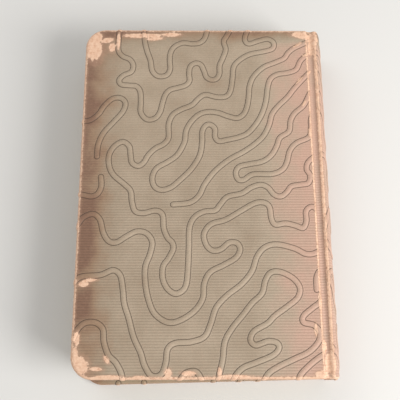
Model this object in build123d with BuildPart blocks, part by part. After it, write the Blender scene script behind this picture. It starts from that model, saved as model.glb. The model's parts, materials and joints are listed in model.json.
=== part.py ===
from build123d import *
import os
from math import asin, cos, degrees, radians, sin

# A hardback book bound in embossed leather, with rounded fore-edge corners, lying closed on its
# front cover. X runs from the fore-edge to the spine, Y from the tail to the head, and Z up.
# The origin is on the front cover's outer face, midway between the fore-edge and the spine.
# All sizes are in millimetres and all angles in degrees.

# The closed book
cover_height = 191.0
cover_width = 124.5         # fore-edge to joint groove
book_thickness = 30.0
front_cover_skew = 1.25     # the front cover has pulled round in its worn joint

# Covers: leather over a board, turned in on three sides, and a pastedown over the turn-ins
board_thickness = 2.4
leather_thickness = 0.9
turn_in_thickness = 0.6     # the turned-in margin is pared thinner and pressed into the board
turn_in_width = 15.0
endpaper_thickness = 0.2
pastedown_margin = 3.5
pastedown_back_margin = 1.5
corner_radius = 11.0
outer_edge_radius = 1.5
inner_edge_radius = 0.5

# Joints: a shallow groove between each cover and the shoulder of the spine
joint_width = 2.5
joint_gap = 0.3             # left between the spine leather and a cover's back edge
shoulder_roll = 2.0         # radius of the leather where it rolls over the shoulder
roll_end_angle = 150.0      # where the roll meets the floor of the groove
shoulder_drop = 0.4         # the shoulder stays this far below the cover's outer face

# Spine, from the leather inwards
spine_swell = 4.8           # the rounded back stands this far beyond its shoulders
card_thickness = 0.8
card_margin = 1.5
hollow_gap = 0.2
mull_thickness = 0.3
mull_length = 160.0
spine_turn_in_depth = 12.0

# Text block
square = 3.0                # the covers stand this far beyond the leaves
closing_gap = 0.3           # air between each cover and the flyleaf under it
page_corner_radius = 8.0
fore_edge_hollow = 3.5
shoulder_run = 1.5          # the outer leaves bend out to the shoulder over this length

# Headbands
bead_size = 1.6
bead_radius = 0.6
tape_length = 10.0
tape_margin = 1.0

# The rounded back: one wide arc, running into a roll of its own radius at each shoulder
half_thickness = book_thickness / 2
roll_height = half_thickness - shoulder_drop - shoulder_roll
roll_inset = spine_swell - shoulder_roll
roll_orbit = (roll_height**2 + roll_inset**2) / (2 * roll_inset)
roll_angle = degrees(asin(roll_height / roll_orbit))
leather_outside = roll_orbit + shoulder_roll
leather_inside = leather_outside - leather_thickness
card_inside = leather_inside - card_thickness
turn_in_inside = card_inside - turn_in_thickness
mull_outside = turn_in_inside - hollow_gap
block_back = mull_outside - mull_thickness

# Places along X
crest_offset = joint_width + shoulder_roll * cos(radians(180 - roll_end_angle))
fore_edge_x = -(cover_width + crest_offset + spine_swell) / 2
cover_back_x = fore_edge_x + cover_width
hinge_back = joint_width / 2
hinge_x = cover_back_x + hinge_back
crest_x = cover_back_x + crest_offset
spine_centre_x = crest_x + spine_swell - leather_outside
tip_x = spine_centre_x + block_back * cos(radians(roll_angle))
tip_height = block_back * sin(radians(roll_angle))
leaf_fore_x = fore_edge_x + square
leaf_back_x = tip_x - shoulder_run

# Depths from a cover's outer face, and heights of the text block
cover_core = leather_thickness + board_thickness
cover_thickness = cover_core + endpaper_thickness
block_height = cover_height - 2 * square
block_half = half_thickness - cover_thickness - closing_gap - endpaper_thickness
groove_height = roll_height + shoulder_roll * sin(radians(roll_end_angle))
groove_depth = half_thickness - groove_height

# The section across the book is drawn at mid-height of its thickness, with X along X and Y up.
# Each cover is drawn on its outer face, from the middle of its hinge line, with +Z outwards.
section_plane = Plane(origin=(0, 0, half_thickness), x_dir=(1, 0, 0), z_dir=(0, -1, 0))
skew = radians(front_cover_skew)
cover_planes = {
    "back": Plane(origin=(hinge_x, 0, book_thickness), x_dir=(1, 0, 0), z_dir=(0, 0, 1)),
    "front": Plane(origin=(hinge_x, 0, 0), x_dir=(cos(skew), sin(skew), 0), z_dir=(0, 0, -1)),
}

os.makedirs("parts", exist_ok=True)


def save(built, name):
    """Labels a finished piece and writes it."""
    built.part.label = name
    export_step(built.part, f"parts/{name}.step")


def cover_outline(edge, back, radius):
    """A cover seen from outside, cut back by edge on three sides and by back at the joint."""
    width = cover_width - edge - back
    with Locations((-hinge_back - back - width / 2, 0)):
        Rectangle(width, cover_height - 2 * edge)
    fillet(vertices().sort_by(Axis.X)[:2], radius)


def leaf_outline():
    """The leaves seen from above, with their fore-edge corners rounded."""
    with Locations(((leaf_fore_x + leaf_back_x) / 2, 0)):
        Rectangle(leaf_back_x - leaf_fore_x, block_height)
    fillet(vertices().sort_by(Axis.X)[:2], page_corner_radius)


def spine_band(inside, outside, half_angle):
    """The section of a layer that is bent round the back."""
    with BuildLine() as outline:
        rim = CenterArc((spine_centre_x, 0), outside, -half_angle, 2 * half_angle)
        bed = CenterArc((spine_centre_x, 0), inside, -half_angle, 2 * half_angle)
        Line(rim @ 0, bed @ 0)
        Line(rim @ 1, bed @ 1)
    make_face(outline.edges())


def margin_angle(margin):
    """The half angle of a layer that stops a margin short of the shoulders."""
    return roll_angle - degrees(margin / leather_outside)


# Text block: the sewn leaves, rounded and backed, with a hollow fore-edge
with BuildPart() as text_block:
    with BuildSketch(section_plane):
        with BuildLine():
            back = CenterArc((spine_centre_x, 0), block_back, 0, roll_angle)
            shoulder = Line(back @ 1, (leaf_back_x, block_half))
            face = Line(shoulder @ 1, (leaf_fore_x, block_half))
            ThreePointArc(face @ 1, (leaf_fore_x + fore_edge_hollow, 0), (leaf_fore_x, -block_half))
            lower_face = Line((leaf_fore_x, -block_half), (leaf_back_x, -block_half))
            lower_shoulder = Line(lower_face @ 1, (tip_x, -tip_height))
            CenterArc((spine_centre_x, 0), block_back, -roll_angle, roll_angle)
        make_face()
    extrude(amount=block_height / 2, both=True)
    # The corners of the leaves are cut round
    with BuildSketch():
        with Locations(((leaf_fore_x + spine_centre_x + block_back) / 2, 0)):
            Rectangle(spine_centre_x + block_back - leaf_fore_x, block_height)
        fillet(vertices().sort_by(Axis.X)[:2], page_corner_radius)
    extrude(amount=book_thickness, mode=Mode.INTERSECT)
save(text_block, "text_block")

# Flyleaves: the free half of each endpaper, lying on the text block
flyleaf_heights = {
    "back": half_thickness + block_half,
    "front": half_thickness - block_half - endpaper_thickness,
}
for side, height in flyleaf_heights.items():
    with BuildPart() as flyleaf:
        with BuildSketch(Plane.XY.offset(height)):
            leaf_outline()
        extrude(amount=endpaper_thickness)
    save(flyleaf, f"{side}_flyleaf")

# Mull: the open cloth glued over the back of the sewn leaves
with BuildPart() as mull:
    with BuildSketch(section_plane):
        spine_band(block_back, mull_outside, margin_angle(tape_margin))
    extrude(amount=mull_length / 2, both=True)
save(mull, "mull")

# Headbands: a bead standing over the ends of the leaves, on a tape glued to the back
for end, direction in (("head", 1), ("tail", -1)):
    edge_plane = section_plane.offset(-direction * block_height / 2)
    with BuildPart() as band:
        with BuildSketch(edge_plane):
            spine_band(block_back - bead_size, mull_outside, margin_angle(tape_margin))
        extrude(amount=-direction * bead_size)
        outermost = faces().sort_by(Axis.Y)[-1 if direction > 0 else 0]
        fillet(outermost.edges(), bead_radius)
        with BuildSketch(edge_plane):
            spine_band(block_back, mull_outside, margin_angle(tape_margin))
        extrude(amount=direction * tape_length)
    save(band, f"{end}_band")

# Spine card: the stiff lining inside the leather of the spine
with BuildPart() as spine_card:
    with BuildSketch(section_plane):
        spine_band(card_inside, leather_inside, margin_angle(card_margin))
    extrude(amount=cover_height / 2 - leather_thickness, both=True)
save(spine_card, "spine_card")

# Spine leather: round the back, over both shoulders and into the joint grooves
tongue_x = cover_back_x - joint_width
with BuildPart() as spine_leather:
    with BuildSketch(section_plane):
        with BuildLine():
            rim = CenterArc((spine_centre_x, 0), leather_outside, 0, roll_angle)
            roll_span = roll_end_angle - roll_angle
            roll = CenterArc((crest_x, roll_height), shoulder_roll, roll_angle, roll_span)
            floor_outside = Line(roll @ 1, (tongue_x, groove_height))
            tongue_end = Line(floor_outside @ 1, (tongue_x, groove_height - leather_thickness))
            floor_inside = Line(tongue_end @ 1, ((roll @ 1).X, groove_height - leather_thickness))
            inner_radius = shoulder_roll - leather_thickness
            inner_roll = CenterArc((crest_x, roll_height), inner_radius, roll_angle, roll_span)
            Line(floor_inside @ 1, inner_roll @ 1)
            bed = CenterArc((spine_centre_x, 0), leather_inside, 0, roll_angle)
            Line(bed @ 0, rim @ 0)
        make_face()
        mirror(about=Plane.XZ)
    extrude(amount=cover_height / 2, both=True)
    # At the head and tail the leather is turned in over the end of the card
    for direction in (1, -1):
        with BuildSketch(section_plane.offset(-direction * cover_height / 2)):
            spine_band(turn_in_inside, leather_inside, margin_angle(card_margin))
        extrude(amount=direction * leather_thickness)
        with BuildSketch(section_plane.offset(-direction * cover_height / 2)):
            spine_band(turn_in_inside, card_inside, margin_angle(card_margin))
        extrude(amount=direction * spine_turn_in_depth)
    # In the groove it stops short of each cover's back edge
    for plane in cover_planes.values():
        with BuildSketch(plane):
            with Locations((-hinge_back + joint_gap - cover_width / 2, 0)):
                Rectangle(cover_width, 2 * cover_height)
        extrude(amount=-half_thickness, mode=Mode.SUBTRACT)
save(spine_leather, "spine_leather")

# The two covers
for side, plane in cover_planes.items():
    with BuildPart() as cover_board:
        with BuildSketch(plane.offset(-leather_thickness)):
            cover_outline(leather_thickness, leather_thickness, corner_radius - leather_thickness)
        extrude(amount=-(board_thickness - turn_in_thickness))
        # The middle keeps its full thickness inside the pressed margins
        with BuildSketch(plane.offset(-leather_thickness)):
            cover_outline(turn_in_width, leather_thickness, inner_edge_radius)
        extrude(amount=-board_thickness)
    save(cover_board, f"{side}_board")

    with BuildPart() as cover_leather:
        with BuildSketch(plane):
            cover_outline(0, 0, corner_radius)
        extrude(amount=-cover_core)
        rims = faces().filter_by(Axis.Z).sort_by(Axis.Z, reverse=side == "back")
        fillet(rims[0].edges(), outer_edge_radius)
        fillet(rims[1].edges(), inner_edge_radius)
        add(cover_board.part, mode=Mode.SUBTRACT)
        # On the joint side it isn't turned in: it leaves the cover for the groove
        with BuildSketch(plane.offset(-groove_depth - leather_thickness)):
            with Locations((-hinge_back - leather_thickness / 2, 0)):
                Rectangle(leather_thickness, cover_height)
        extrude(amount=-board_thickness, mode=Mode.SUBTRACT)
    save(cover_leather, f"{side}_cover_leather")

    with BuildPart() as pastedown:
        with BuildSketch(plane.offset(-cover_core)):
            paste_radius = corner_radius - pastedown_margin
            cover_outline(pastedown_margin, pastedown_back_margin, paste_radius)
        extrude(amount=-endpaper_thickness)
    save(pastedown, f"{side}_pastedown")
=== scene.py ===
import json
import math

import bmesh
import bpy
import numpy as np
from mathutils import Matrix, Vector, kdtree, noise


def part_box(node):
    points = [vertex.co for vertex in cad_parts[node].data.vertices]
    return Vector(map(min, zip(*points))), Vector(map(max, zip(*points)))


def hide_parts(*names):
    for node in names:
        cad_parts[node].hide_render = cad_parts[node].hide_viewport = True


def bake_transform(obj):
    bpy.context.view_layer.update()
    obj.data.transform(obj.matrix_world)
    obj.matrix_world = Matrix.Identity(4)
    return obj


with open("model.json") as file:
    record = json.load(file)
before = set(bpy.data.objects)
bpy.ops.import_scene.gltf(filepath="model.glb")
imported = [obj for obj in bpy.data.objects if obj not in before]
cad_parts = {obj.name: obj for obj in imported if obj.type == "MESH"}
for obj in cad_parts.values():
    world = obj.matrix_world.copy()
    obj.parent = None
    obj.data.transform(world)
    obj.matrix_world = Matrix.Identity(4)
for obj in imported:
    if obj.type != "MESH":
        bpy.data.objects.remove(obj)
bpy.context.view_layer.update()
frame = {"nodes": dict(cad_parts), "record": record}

MM = 0.001

# Emboss: the lines that a heated plate pressed into the damp leather of the back cover. Each one is
# a winding ridge, given in mm as the points its middle runs through. X is from the frame's
# origin towards the spine and Y towards the head.
ROUTES = [
    [(-48, 99), (-48.6, 88), (-48.4, 82), (-46, 78.6), (-42, 76.6), (-40, 73), (-41, 69), (-45, 67),
     (-47.5, 64), (-46.3, 61.3), (-42, 60.7), (-38, 60.2), (-35.8, 57), (-35.3, 51), (-35.3, 45),
     (-33, 41.3), (-30.3, 40.3), (-27, 41.5), (-24.7, 45), (-23.5, 50), (-22, 55), (-19.5, 58),
     (-15, 59.4), (-11, 60.8), (-8.8, 63.5), (-9, 68), (-8.3, 72.3), (-5.5, 74.4), (-2.5, 73.4),
     (-0.7, 69.5), (0.5, 66), (3, 64.3), (6, 64.8), (7.8, 68), (8, 73), (10, 78), (11.5, 83),
     (10.5, 88), (12.5, 92), (16, 99)],
    [(-34.6, 99), (-34, 89), (-32.5, 82), (-30.5, 76), (-29.5, 70), (-27, 66.8), (-24, 66.2),
     (-21, 67.4), (-19.5, 71), (-19.8, 76), (-19.3, 81), (-17, 84.8), (-12.5, 87), (-7.5, 86.5),
     (-3, 87.2), (0, 90.5), (2, 99)],
    [(26, 99), (23.2, 93), (22.4, 89), (24.5, 86.6), (30, 88.4), (35, 89.6), (38.4, 87.5),
     (38, 83.8), (33.7, 82), (25, 80), (19, 76.3), (15.8, 72), (15, 65), (13.7, 57.5), (11.2, 54.2),
     (6.2, 53.8), (0, 55.2), (-3.7, 53), (-7.5, 49), (-13.7, 46.2), (-18, 43), (-20, 37.5),
     (-20, 30), (-22.5, 26.3), (-27, 23.7), (-30.6, 20), (-33, 15.8), (-36, 13.8), (-39.3, 15.8),
     (-40.2, 20.6), (-41, 25), (-44.5, 27.5), (-48.8, 25), (-51.5, 20), (-51.2, 13.7), (-48.7, 8.7),
     (-43, 3.7), (-39.6, 0), (-38.7, -6), (-36.9, -11), (-32.5, -12), (-26.3, -10.7), (-22.7, -13),
     (-22, -20), (-20, -25), (-17.6, -27.6), (-17, -31), (-19.4, -36), (-22, -40), (-22.2, -46),
     (-20, -51), (-16.2, -53.8), (-12.5, -52.7), (-10.2, -48.8), (-9.4, -40), (-9, -30), (-8.7, -20),
     (-6.2, -14.4), (-1.2, -11.3), (4.6, -10.6), (7.2, -7.6), (11.2, -3.2), (18.7, -1.3),
     (23.7, 1.9), (28.7, 3.4), (32.5, 1.9), (35.6, -1.9), (39.2, -3), (42.5, -0.6), (45, 2.5),
     (50, 3.5), (54, 4.4), (55.2, 8.5), (53.5, 12), (54.5, 16), (58.5, 19.5), (62, 21)],
    [(62, 91), (57, 87.6), (50, 84), (46.5, 81), (44, 77.5), (39, 75), (33, 72.4), (29, 69),
     (26, 65), (24.3, 60), (23.7, 54), (22.6, 48), (20.6, 43.6), (17, 41.4), (12, 42.5),
     (7, 44.4), (1.5, 45), (-3.5, 43.5), (-8, 39), (-10.6, 33.7), (-11.4, 27.5), (-15, 20.4),
     (-20, 16.3), (-26, 12.6), (-28.3, 7.5), (-27.2, 2.6), (-23.7, 0.6), (-18.7, 1.8),
     (-13.7, 6), (-7.5, 12.5), (-3.2, 20), (-2, 27.5), (-1.8, 33.5), (0, 37), (2.6, 37.5), (5, 35),
     (5, 30.5), (7, 28), (11.2, 28.7), (17.5, 30.2), (22.5, 32.5), (27, 37.5), (30.6, 43.7),
     (33, 51), (34.4, 60), (36.2, 65), (40, 67.6), (46, 68.7), (50.6, 70.8), (53.2, 76),
     (57.5, 80), (62, 82)],
    [(63, 76), (58.7, 70), (53, 63.7), (48.7, 58.7), (45, 53.8), (40, 48.8), (36.2, 43.7),
     (34.4, 37.5), (31.2, 31.2), (26.2, 26.2), (20, 21.8), (12.5, 17.5), (5, 11.2), (-0.6, 3.8),
     (-3.7, -2.5), (-8.7, -6.4), (-17.5, -7.4)],
    [(62, 62), (57.5, 56.2), (53.7, 49), (48.7, 44.4), (46.2, 40), (45, 33.7), (40, 30), (38, 25),
     (35, 20), (30, 16.4), (22.5, 14.8), (17.6, 13.4), (15.8, 10), (17, 6.4), (20, 6.2), (25, 9.2),
     (35, 9.4), (40.6, 11.9), (43.2, 16.2), (45, 22.5), (48.7, 26.9), (55.6, 30.3), (57, 35),
     (57.6, 42), (62, 50)],
    [(-72, 38), (-67, 39.4), (-62.5, 40), (-58, 43.7), (-55, 48.7), (-50.6, 52.8), (-46.2, 53),
     (-43.7, 50), (-45, 45), (-50, 38.7), (-55, 32.5), (-57.5, 26), (-58, 19)],
    [(-72, -1), (-64.4, -2.2), (-60, -3), (-56.8, -1.6), (-55, 2.5), (-55.4, 8)],
    [(-74, -24), (-67, -18.7), (-63.7, -14.4), (-58.7, -12.5), (-55, -15.6), (-53, -22.5),
     (-50, -26.9), (-46, -27.5), (-41, -24.4), (-35.6, -21.8), (-30.6, -23), (-27.8, -27.5),
     (-28.8, -33.7), (-31, -40), (-31, -47.5), (-29.4, -56), (-26.2, -63.5), (-20, -67.9),
     (-13.7, -67.3), (-6.2, -62.5), (-2, -56.2), (-1.2, -48.7), (1.9, -43), (8.7, -39.4),
     (15, -35.6), (17.2, -31.4), (15.6, -28), (11.6, -27.8), (7.4, -31.2), (3, -31.8),
     (-0.2, -28.7), (-1.2, -23), (2.5, -18), (10, -15.6), (17.5, -11.2), (25, -6.9), (30, -6.3),
     (33, -8.8), (33.8, -15), (35.8, -18.2), (41, -17.6), (46, -18.7), (50, -20), (51.9, -16.4),
     (52, -11.2), (54.6, -8.7), (57.6, -10), (60.6, -15.6), (63, -22)],
    [(-74, -52), (-67, -48), (-63, -45.2), (-53.7, -44.4), (-47.5, -42), (-43.7, -44.5), (-42.2, -51),
     (-41.2, -58.7), (-38.8, -66), (-36.2, -75), (-32.6, -82.5), (-30.5, -88.7), (-27, -93.6),
     (-22.4, -93), (-20.2, -87.5), (-19.3, -81), (-15.6, -78.2), (-7.5, -77.5), (-1.2, -75),
     (1.9, -68.7), (4.6, -61), (10, -55), (17.5, -49.2), (23, -42.5), (25.8, -35), (30, -30.2),
     (36.2, -28.7), (45, -30.8), (51, -33.7), (56.2, -33), (60, -29.5), (63, -25)],
    [(-66, -76), (-63.5, -71), (-60, -68.2), (-55, -68.2), (-51.4, -71.3), (-50.6, -77.5),
     (-48.2, -83.7), (-44.4, -87.5), (-41.5, -93), (-41, -99)],
    [(4.6, -99), (6, -92.5), (7.6, -86), (8.8, -77.5), (12.5, -71), (18.6, -63.7), (22.6, -58.7),
     (27.8, -53.7), (29.6, -47.5), (32.5, -43.3), (37.5, -43), (43.7, -46.2), (46.9, -51),
     (45.6, -56), (40, -60.6), (33.8, -65), (30, -68.7), (23.2, -72.6), (21.4, -76.8),
     (24, -79.2), (30, -77.4), (34.4, -78.2), (35.2, -81), (31.9, -84.3), (23.7, -87.6),
     (17.5, -90), (13.5, -94), (12, -99)],
    [(63, -45), (60.5, -47), (58.8, -51), (57.3, -57.5), (53, -61), (48.2, -65), (48, -68.2),
     (53, -69.6), (55.6, -73), (55, -77.5), (50, -82.5), (42.5, -86), (35, -89.4), (29.5, -93),
     (26, -99)],
    [(63, -79), (60, -82), (53.7, -86), (48.7, -90), (45, -94), (44, -99)],
    [(-15, -99), (-12.5, -94.6), (-10, -92.2), (-6, -91.6), (-3.6, -94), (-2, -99)],
    [(55.4, -52), (55.6, -46), (57.6, -42.4), (60.6, -43.2), (62.5, -48)],
]
ROUTE_STEP = 0.35


def smooth_route(points):
    """The points of a route joined by a Catmull-Rom curve, at even steps of its own parameter."""
    p = np.array([points[0], *points, points[-1]], float)
    out = []
    for a, b, c, d in zip(p, p[1:], p[2:], p[3:]):
        steps = max(2, int(np.linalg.norm(c - b) / ROUTE_STEP))
        t = np.linspace(0, 1, steps, endpoint=False)[:, None]
        out.append(0.5 * (2 * b + (c - a) * t + (2 * a - 5 * b + 4 * c - d) * t**2
                          + (3 * b - a - 3 * c + d) * t**3))
    return np.concatenate(out)


ridge_points = np.concatenate([smooth_route(r) for r in ROUTES])
ridge_tree = kdtree.KDTree(len(ridge_points))
for i, (x, y) in enumerate(ridge_points):
    ridge_tree.insert((x, y, 0), i)
ridge_tree.balance()

# Leather: calf with a pressed finish, one skin drawn over both covers and the spine and turned in
# all round. Its brown-grey surface has rubbed away to pale, fuzzy pink-tan hide wherever the book
# is handled: corners, edges, both sides of the joint and the tops of the ridges beside them.
record = frame["record"]
hinges = {j["child"]: j for j in record["behaviour"]["joints"]}
cover_low, cover_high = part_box("back_cover_leather")
spine_low, spine_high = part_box("spine_leather")
HINGE_X = hinges["back_cover"]["pos_m"][0] / MM
THICKNESS = cover_high[2] / MM
FORE_X = cover_low[0] / MM
BACK_X = cover_high[0] / MM
HALF_HEIGHT = cover_high[1] / MM
CORNER = 11.0
EDGE_ROLL = 1.5
INNER_ROLL = 0.5
CORE = THICKNESS - cover_low[2] / MM
SPINE_WALL = 1.7
TURN_IN = 7.0
GROOVE = 1.4
SKEW = math.atan2(hinges["front_cover"]["axis"][0], -hinges["front_cover"]["axis"][1])
CREST_HEIGHT = spine_high[2] / MM - THICKNESS / 2
APEX_X = spine_high[0] / MM
ROLL = 2.0
CREST_X = APEX_X - 4.8
GRID = 0.66
RIDGE_HALF = 1.45
RIDGE_RISE = 0.42


def back_profile():
    """The outer line of the leather across the joint and round the spine, and its length so far."""
    height = CREST_HEIGHT - ROLL
    inset = APEX_X - CREST_X - ROLL
    orbit = (height**2 + inset**2) / (2 * inset)
    turn = math.asin(height / orbit)
    centre = CREST_X + inset + ROLL - (orbit + ROLL)
    rise = [(BACK_X - 6, 0), (BACK_X - 1.2, 0), (BACK_X - 0.5, -0.15), (BACK_X, -0.55),
            (BACK_X + 0.45, -1.1), (BACK_X + 1.1, -GROOVE), (BACK_X + 1.9, -GROOVE + 0.02)]
    points = [(x, THICKNESS / 2 + z) for x, z in rise]
    for a in np.linspace(math.radians(140), turn, 12):
        points.append((CREST_X + ROLL * math.cos(a), height + ROLL * math.sin(a)))
    for a in np.linspace(turn, -turn, 40)[1:]:
        points.append((centre + (orbit + ROLL) * math.cos(a), (orbit + ROLL) * math.sin(a)))
    for a in np.linspace(-turn, -math.radians(75), 8)[1:]:
        points.append((CREST_X + ROLL * math.cos(a), -height + ROLL * math.sin(a)))
    line = np.array(points)
    return line, np.concatenate([[0], np.cumsum(np.linalg.norm(np.diff(line, axis=0), axis=1))])


profile_line, profile_length = back_profile()
PROFILE_START = profile_line[0][0]


def on_profile(u):
    """The point at a sheet distance u, in X and height over mid thickness, and its outward normal."""
    along = u - PROFILE_START
    if along <= 0:
        return u, THICKNESS / 2, 0.0, 1.0
    x = np.interp(along, profile_length, profile_line[:, 0])
    z = np.interp(along, profile_length, profile_line[:, 1])
    ahead, behind = along + 0.25, along - 0.25
    dx = np.interp(ahead, profile_length, profile_line[:, 0]) - np.interp(behind, profile_length,
                                                                         profile_line[:, 0])
    dz = np.interp(ahead, profile_length, profile_line[:, 1]) - np.interp(behind, profile_length,
                                                                         profile_line[:, 1])
    size = math.hypot(dx, dz) or 1.0
    return x, z, -dz / size, dx / size


def fold(u, v):
    """How far a sheet point lies outside the cover's outline, and which way is out."""
    cx, cy = FORE_X + CORNER, HALF_HEIGHT - CORNER
    ox, oy = cx - u, abs(v) - cy
    side = 1 if v > 0 else -1
    if ox > 0 and oy > 0:
        d = math.hypot(ox, oy)
        return d - CORNER, -ox / d, side * oy / d
    if oy - CORNER > ox - CORNER:
        return oy - CORNER, 0.0, side
    return ox - CORNER, -1.0, 0.0


def smoothstep(a, b, x):
    t = min(max((x - a) / (b - a), 0.0), 1.0)
    return t * t * (3 - 2 * t)


# Bare patches in mm: centre, half sizes and turn of each rubbed spot on the back cover.
BARE_SPOTS = [
    (-62.5, 84, 5.6, 9.5, 8), (-61, 90, 4, 4, 0), (-55, 88.5, 4.2, 1.8, 10), (-52, 84, 2.2, 3.2, 0),
    (-35, 91.5, 13, 1.6, 0), (-28, 89.6, 5, 1.2, 4), (-48.6, 88, 1.2, 6, 0), (-19, 92.2, 6, 1.4, 0),
    (55, 92, 7, 2.4, -8), (61.5, 90, 3.6, 5, 0), (60, 84, 2, 5, 0), (52, 86, 3.6, 0.9, 32),
    (56.5, 80, 3, 1.0, 30), (52, 64, 3.5, 0.8, 50), (58, 69, 2.4, 0.8, 50), (54, 50, 2.4, 0.7, 60),
    (-62.6, -88.6, 6.2, 4.8, -38), (-65, -84, 2.2, 5, 0), (-54, -90.4, 4, 1.1, -4),
    (-49, -86, 1.3, 2.6, 35), (-59, -47, 4.4, 1.0, 4), (-62, -49, 3, 1.6, 0), (-64, -76, 1.6, 4, 0),
    (61, -88, 3.6, 6, 0), (56, -93, 4, 2, 0), (58, -80, 2, 4, 0), (57, -58, 1.2, 6, 0),
    (54, -72, 1.0, 4, 0), (-9, -92.6, 4.2, 1.4, 0), (-19, -92.4, 2, 2.4, 0), (6, -92, 1.2, 2.6, 0),
    (13, -94, 10, 0.9, 0), (-48, -94, 8, 0.9, 0), (-33, -94.4, 4, 1.0, 0), (56, 33, 0.7, 3.4, 0),
]


def bare_spots(x, y):
    """How deep a point lies in the nearest rubbed spot, from 1 at its middle to below 0 outside."""
    best = -1.0
    for cx, cy, rx, ry, turn in BARE_SPOTS:
        dx, dy = x - cx, y - cy
        if abs(dx) > 16 or abs(dy) > 14:
            continue
        c, s = math.cos(math.radians(turn)), math.sin(math.radians(turn))
        best = max(best, 1 - math.hypot((dx * c + dy * s) / rx, (dy * c - dx * s) / ry))
    return best


def leather_sheet(name, last_u, place, flip):
    """A grid of hide pressed over the cover, folded in at its rim and run out to last_u."""
    first_u = FORE_X - (EDGE_ROLL * (math.pi / 2 - 1) + CORE - INNER_ROLL + TURN_IN)
    length_u, length_v = last_u - first_u, 2 * (HALF_HEIGHT + FORE_X - first_u)
    bm = bmesh.new()
    bmesh.ops.create_grid(bm, x_segments=int(length_u / GRID), y_segments=int(length_v / GRID),
                          size=0.5)
    ridge = bm.verts.layers.float.new("ridge")
    bare = bm.verts.layers.float.new("bare")
    shaded_tone = bm.verts.layers.float.new("shaded_tone")
    ribs = bm.verts.layers.float.new("ribs")
    strays = []
    for vert in bm.verts:
        u = first_u + (vert.co.x + 0.5) * length_u
        v = vert.co.y * length_v
        s, nx, ny = fold(u, v)
        # Past the joint the pattern runs back over itself, as the plate's next impression
        px = u if u < 62 else 124 - u
        py = v if not flip else -v
        distance = ridge_tree.find((px, py, 0))[2]
        fade = 1 - smoothstep(BACK_X - 1.5, BACK_X, u) * (1 - smoothstep(BACK_X + 3, BACK_X + 6, u))
        lift = RIDGE_RISE * (1 - smoothstep(RIDGE_HALF * 0.35, RIDGE_HALF * 1.05, distance)) * fade
        wall = CORE + (SPINE_WALL - CORE) * smoothstep(BACK_X - 1, BACK_X + 1, u)
        arc = EDGE_ROLL * math.pi / 2
        over = s + EDGE_ROLL
        bu, bv = u - max(over, 0) * nx, v - max(over, 0) * ny
        out, up, lean = 0.0, 0.0, 0.0
        if over > 0:
            straight = wall - EDGE_ROLL - INNER_ROLL
            straight = max(straight, 0.0)
            if over < arc:
                lean = over / EDGE_ROLL
                out, up = EDGE_ROLL * math.sin(lean), EDGE_ROLL * (math.cos(lean) - 1)
            elif over < arc + straight:
                lean = math.pi / 2
                out, up = EDGE_ROLL, -EDGE_ROLL - (over - arc)
            else:
                rest = over - arc - straight
                inner_arc = INNER_ROLL * math.pi / 2
                low = min(rest / inner_arc, 1.0) * math.pi / 2
                lean = math.pi / 2 + low
                out = EDGE_ROLL - INNER_ROLL * (1 - math.cos(low)) - max(rest - inner_arc, 0)
                up = -EDGE_ROLL - straight - INNER_ROLL * math.sin(low)
                if rest - inner_arc > TURN_IN:
                    strays.append(vert)
        x, z, px_n, pz_n = on_profile(bu)
        rough = noise.noise((u * 0.9, v * 0.9, 3.0 if flip else 0.0)) * 0.05
        swell = noise.noise((u * 0.045, v * 0.045, 7.0)) * 0.12 * min(1.0, max(-s, 0.0) / 10)
        lift += rough + swell - (RIDGE_RISE if flip else 0)
        # Offsets along the way out, then along the skin's own normal
        c, q = math.cos(lean), math.sin(lean)
        vx = x + nx * (out + q * lift) + px_n * (up + c * lift)
        vy = bv + ny * (out + q * lift)
        vz = z + pz_n * (up + c * lift)
        vert.co = place(vx, vy, vz, u)
        vert[ridge] = distance if fade > 0.5 else 4.0
        edge = 1 - abs(over - arc * 0.55) / 1.5
        joint = 1 - abs(u - (BACK_X - 0.7)) / 0.9
        crest = 1 - abs(u - (BACK_X + 4.6)) / 1.3
        low_edge = 1 - abs(over - arc - wall + 2) / 1.0 if over > 0 else -1.0
        wear = max(edge * 0.9, joint * 0.62, crest * 0.8, low_edge * 0.4, -1)
        spots = bare_spots(u, py) if u < 70 and not flip else bare_spots(u, v) * 0.7 - 0.12
        vert[bare] = max(wear, spots * 1.1 + 0.12)
        # Painted light fall-off: the colour is darker towards the fore-edge and the head and lighter
        # towards the spine, as shade away from a lamp on the right
        across = smoothstep(FORE_X, FORE_X + 26, u)
        head = smoothstep(HALF_HEIGHT - 12, HALF_HEIGHT, v)
        right = smoothstep(20, 56, u)
        vert[shaded_tone] = 0.5 + 0.5 * (1 - across) + 0.45 * head - 0.5 * right * (1 - head)
        vert[ribs] = (0.25 + 0.75 * smoothstep(50, -20, v)) * (1 if over < arc else 0.4)
    bmesh.ops.delete(bm, geom=strays, context="VERTS")
    mesh = bpy.data.meshes.new(name)
    bm.to_mesh(mesh)
    bm.free()
    mesh.shade_smooth()
    piece = bpy.data.objects.new(name, mesh)
    bpy.context.collection.objects.link(piece)
    return piece


def on_back(x, y, z, u):
    """The back cover lies square to the spine, on top."""
    return Vector((x, y, z + THICKNESS / 2)) * MM


def on_front(x, y, z, u):
    """The front cover lies below and is pulled round in its joint, which the groove takes up."""
    turn = SKEW * (1 - smoothstep(BACK_X, BACK_X + 2.5, x))
    dx = x - HINGE_X
    c, s = math.cos(turn), math.sin(turn)
    return Vector((HINGE_X + dx * c - y * s, dx * s + y * c, THICKNESS / 2 - z)) * MM


def linear(code):
    """An sRGB hex colour as linear RGBA."""
    parts = [int(code[i:i + 2], 16) / 255 for i in (0, 2, 4)]
    return [p / 12.92 if p <= 0.04045 else ((p + 0.055) / 1.055) ** 2.4 for p in parts] + [1.0]


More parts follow.
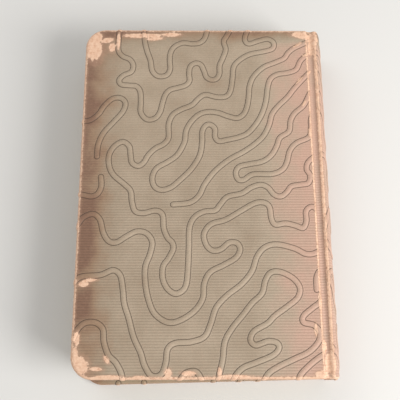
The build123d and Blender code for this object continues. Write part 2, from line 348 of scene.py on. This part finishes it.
def node(tree, kind, settings=None, **inputs):
    """Adds a shader node, with its settings and the values or sockets of its inputs."""
    made = tree.nodes.new(kind)
    for key, value in (settings or {}).items():
        setattr(made, key, value)
    for key, value in inputs.items():
        socket = made.inputs[int(key[1:])] if key[0] == "i" and key[1:].isdigit() else (
            made.inputs[key.replace("_", " ")])
        if isinstance(value, bpy.types.NodeSocket):
            tree.links.new(value, socket)
        else:
            socket.default_value = value
    return made


def new_material(name):
    made = bpy.data.materials.new(name)
    made.use_nodes = True
    return made, made.node_tree, made.node_tree.nodes["Principled BSDF"]


def ramp(tree, value, stops):
    """A colour ramp through (place, hex or grey) stops."""
    made = node(tree, "ShaderNodeValToRGB", Fac=value)
    elements = made.color_ramp.elements
    while len(elements) < len(stops):
        elements.new(0.5)
    for element, (place, colour) in zip(elements, stops):
        element.position = place
        element.color = linear(colour) if isinstance(colour, str) else (colour,) * 3 + (1,)
    return made.outputs["Color"]


RIB_PITCH = 1.4
leather, tree, shader = new_material("worn_embossed_calf")
place = node(tree, "ShaderNodeTexCoord").outputs["Object"]
split = node(tree, "ShaderNodeSeparateXYZ", Vector=place)
masks = {n: node(tree, "ShaderNodeAttribute", {"attribute_name": n}).outputs["Fac"]
         for n in ("ridge", "bare", "shaded_tone", "ribs")}
fibre = node(tree, "ShaderNodeTexNoise", Vector=place, Scale=1 / (1.6 * MM), Detail=5.0,
             Roughness=0.7).outputs["Fac"]
cloud = node(tree, "ShaderNodeTexNoise", Vector=place, Scale=1 / (14 * MM), Detail=4.0).outputs["Fac"]
grain = node(tree, "ShaderNodeTexNoise", Vector=place, Scale=1 / (0.45 * MM), Detail=3.0).outputs["Fac"]


def maths(kind, a, b=0.0, c=0.0, clamp=False):
    """One step of arithmetic between sockets or numbers."""
    made = node(tree, "ShaderNodeMath", {"operation": kind, "use_clamp": clamp}, i0=a, i1=b)
    if kind in ("MULTIPLY_ADD", "SMOOTH_MIN", "COMPARE", "WRAP"):
        made.inputs[2].default_value = c
    return made.outputs[0]


# Ribs: a wave along Y, faint towards the head and stopped by the ridges
wave = maths("SINE", maths("MULTIPLY", split.outputs["Y"], 2 * math.pi / (RIB_PITCH * MM)))
off_ridge = node(tree, "ShaderNodeMapRange", {"interpolation_type": "SMOOTHSTEP"},
                 Value=masks["ridge"], i1=1.7, i2=2.3).outputs[0]
rib_depth = maths("MULTIPLY", off_ridge, masks["ribs"])
rib_wave = maths("MULTIPLY", wave, rib_depth)
# Crease: a narrow line of painted shade down each side of a ridge
crease_gap = maths("ABSOLUTE", maths("SUBTRACT", masks["ridge"], RIDGE_HALF))
crease = node(tree, "ShaderNodeMapRange", {"interpolation_type": "SMOOTHSTEP"}, Value=crease_gap,
              i1=0.36, i2=0.05).outputs[0]
# Bare hide: the wear mask broken up by the fibres
worn = maths("ADD", masks["bare"], maths("MULTIPLY_ADD", fibre, 1.1, -0.62))
bared = node(tree, "ShaderNodeMapRange", {"interpolation_type": "SMOOTHSTEP"}, Value=worn,
             i1=0.12, i2=0.3).outputs[0]
scuffed = node(tree, "ShaderNodeMapRange", {"interpolation_type": "SMOOTHSTEP"}, Value=worn,
               i1=-0.55, i2=0.2).outputs[0]

# Painted shade gradient across the cover, broken up by the skin's own cloudy mottle
shaded_tone = maths("ADD", masks["shaded_tone"], maths("MULTIPLY_ADD", cloud, 0.7, -0.35))
skin = ramp(tree, shaded_tone, [(0.0, "C09C88"), (0.35, "AC9A84"), (0.6, "A08E78"), (0.85, "94785F"),
                         (1.0, "7C5C48")])


def mix(blend, factor, a, b):
    """Mixes two colours."""
    made = node(tree, "ShaderNodeMix", {"data_type": "RGBA", "blend_type": blend})
    for socket, value in ((0, factor), (6, a), (7, b)):
        if isinstance(value, bpy.types.NodeSocket):
            tree.links.new(value, made.inputs[socket])
        else:
            made.inputs[socket].default_value = value
    return made.outputs[2]


ribbed = mix("MULTIPLY", maths("MULTIPLY_ADD", rib_wave, -0.22, 0.0, clamp=True), skin,
             linear("6E5A48"))
speckled = mix("OVERLAY", 0.35, ribbed, ramp(tree, grain, [(0.3, 0.35), (0.7, 0.62)]))
rubbed = mix("MIX", maths("MULTIPLY", scuffed, 0.45), speckled, linear("B78F76"))
# Painted shade: the crease lines darkened in the colour, standing in for the shadow in each crease
crease_shaded = mix("MIX", maths("MULTIPLY", crease, 0.72), rubbed, linear("4A3A2E"))
hide = ramp(tree, fibre, [(0.25, "B98468"), (0.45, "DDB395"), (0.75, "EBC8AC")])
final = mix("MIX", bared, crease_shaded, hide)
tree.links.new(final, shader.inputs["Base Color"])
shader.inputs["Roughness"].default_value = 0.62
relief = maths("ADD", maths("MULTIPLY", rib_wave, 0.07),
               maths("ADD", maths("MULTIPLY", crease, -0.22), maths("MULTIPLY", grain, 0.06)))
relief = maths("ADD", relief, maths("MULTIPLY", maths("MULTIPLY", bared, fibre), 0.25))
bump = node(tree, "ShaderNodeBump", Height=relief, Distance=1.0 * MM, Strength=0.9)
tree.links.new(bump.outputs[0], shader.inputs["Normal"])

FRONT_CREST = PROFILE_START + profile_length[-1] - 0.4
back_leather = leather_sheet("back_leather", FRONT_CREST, on_back, flip=False)
back_leather.data.materials.append(leather)
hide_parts("back_cover_leather", "spine_leather")
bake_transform(back_leather)

front_leather = leather_sheet("front_leather", BACK_X + 5.4, on_front, flip=True)
front_leather.data.flip_normals()
front_leather.data.materials.append(leather)
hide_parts("front_cover_leather")
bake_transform(front_leather)

# Text block: machine-made paper gone cream with age, cut flush on three sides after sewing.
paper, tree, shader = new_material("aged_cut_paper")
place = node(tree, "ShaderNodeTexCoord").outputs["Object"]
stretch = node(tree, "ShaderNodeMapping", Vector=place, Scale=(60, 60, 1 / (0.22 * MM)))
leaves = node(tree, "ShaderNodeTexNoise", Vector=stretch.outputs[0], Scale=1.0, Detail=2.0)
cloud = node(tree, "ShaderNodeTexNoise", Vector=place, Scale=1 / (25 * MM), Detail=4.0)
edges = ramp(tree, leaves.outputs["Fac"], [(0.3, "A8946F"), (0.5, "CDBB96"), (0.7, "DFD1B0")])
aged = ramp(tree, cloud.outputs["Fac"], [(0.3, "D8C9A4"), (0.7, "FFFFFF")])
tree.links.new(mix("MULTIPLY", 0.6, edges, aged), shader.inputs["Base Color"])
shader.inputs["Roughness"].default_value = 0.85
bump = node(tree, "ShaderNodeBump", Height=leaves.outputs["Fac"], Distance=0.15 * MM, Strength=0.8)
tree.links.new(bump.outputs[0], shader.inputs["Normal"])

# Endpapers: a smoother, slightly heavier sheet, browned in soft clouds and foxed with spots.
endpaper, tree, shader = new_material("browned_endpaper")
place = node(tree, "ShaderNodeTexCoord").outputs["Object"]
cloud = node(tree, "ShaderNodeTexNoise", Vector=place, Scale=1 / (18 * MM), Detail=6.0)
foxing = node(tree, "ShaderNodeTexNoise", Vector=place, Scale=1 / (5 * MM), Detail=3.0)
sheet = ramp(tree, cloud.outputs["Fac"], [(0.3, "CBB68E"), (0.7, "DECFAE")])
spots = ramp(tree, foxing.outputs["Fac"], [(0.66, "FFFFFF"), (0.76, "C9A67A")])
tree.links.new(mix("MULTIPLY", 0.7, sheet, spots), shader.inputs["Base Color"])
shader.inputs["Roughness"].default_value = 0.8

# Board, card, mull and headbands: grey-brown strawboard, manila card, glued muslin and cotton.
board, tree, shader = new_material("strawboard")
place = node(tree, "ShaderNodeTexCoord").outputs["Object"]
flecks = node(tree, "ShaderNodeTexNoise", Vector=place, Scale=1 / (0.8 * MM), Detail=4.0)
tree.links.new(ramp(tree, flecks.outputs["Fac"], [(0.3, "7D6A4E"), (0.7, "A18C6B")]),
               shader.inputs["Base Color"])
shader.inputs["Roughness"].default_value = 0.9

cotton, tree, shader = new_material("woven_cotton")
place = node(tree, "ShaderNodeTexCoord").outputs["Object"]
THREAD = 0.7
threads = node(tree, "ShaderNodeTexWave", {"wave_type": "BANDS", "bands_direction": "Z"},
               Vector=place, Scale=1 / (THREAD * MM) / 3.1, Distortion=0.6)
tree.links.new(ramp(tree, threads.outputs["Fac"], [(0.2, "8E7A5E"), (0.7, "CDBD9C")]),
               shader.inputs["Base Color"])
shader.inputs["Roughness"].default_value = 0.9
bump = node(tree, "ShaderNodeBump", Height=threads.outputs["Fac"], Distance=0.3 * MM)
tree.links.new(bump.outputs[0], shader.inputs["Normal"])

FINISHES = {
    "text_block": paper, "back_flyleaf": endpaper, "front_flyleaf": endpaper,
    "back_pastedown": endpaper, "front_pastedown": endpaper, "back_board": board,
    "front_board": board, "spine_card": board, "mull": cotton, "head_band": cotton,
    "tail_band": cotton,
}
for name, finish in FINISHES.items():
    mesh = frame["nodes"][name].data
    mesh.materials.clear()
    mesh.materials.append(finish)

# Studio: a plain pale floor, soft light from all round and one wide lamp low on the right.
bpy.ops.mesh.primitive_plane_add(size=4.0)
floor = bpy.context.object
floor.name = "floor"
floor_paint, tree, shader = new_material("floor_paint")
shader.inputs["Base Color"].default_value = linear("D9D7D3")
shader.inputs["Roughness"].default_value = 0.9
floor.data.materials.append(floor_paint)

world = bpy.data.worlds.new("studio")
bpy.context.scene.world = world
world.use_nodes = True
world.node_tree.nodes["Background"].inputs["Color"].default_value = (1, 1, 1, 1)
world.node_tree.nodes["Background"].inputs["Strength"].default_value = 0.55
for name, spot, size, power in (("window", (0.7, -0.35, 0.55), 0.5, 9.0),
                                ("fill", (-0.6, 0.6, 0.9), 0.8, 3.0)):
    lamp = bpy.data.lights.new(name, "AREA")
    lamp.size = size
    lamp.energy = power
    holder = bpy.data.objects.new(name, lamp)
    holder.location = spot
    holder.rotation_euler = (-Vector(spot)).to_track_quat("-Z", "Y").to_euler()
    bpy.context.collection.objects.link(holder)

# Camera: almost straight down, over the tail edge
camera = bpy.data.objects.new("camera", bpy.data.cameras.new("camera"))
camera.data.lens = 58.5
camera.data.sensor_width = 36
camera.rotation_mode = "ZYX"
camera.rotation_euler = (math.radians(16.3), math.radians(-0.73), 0)
camera.location = (-0.0075, -0.1003, 0.356)
camera.data.clip_start = 0.01
bpy.context.collection.objects.link(camera)
bpy.context.scene.camera = camera
bpy.context.scene.view_settings.view_transform = "Standard"
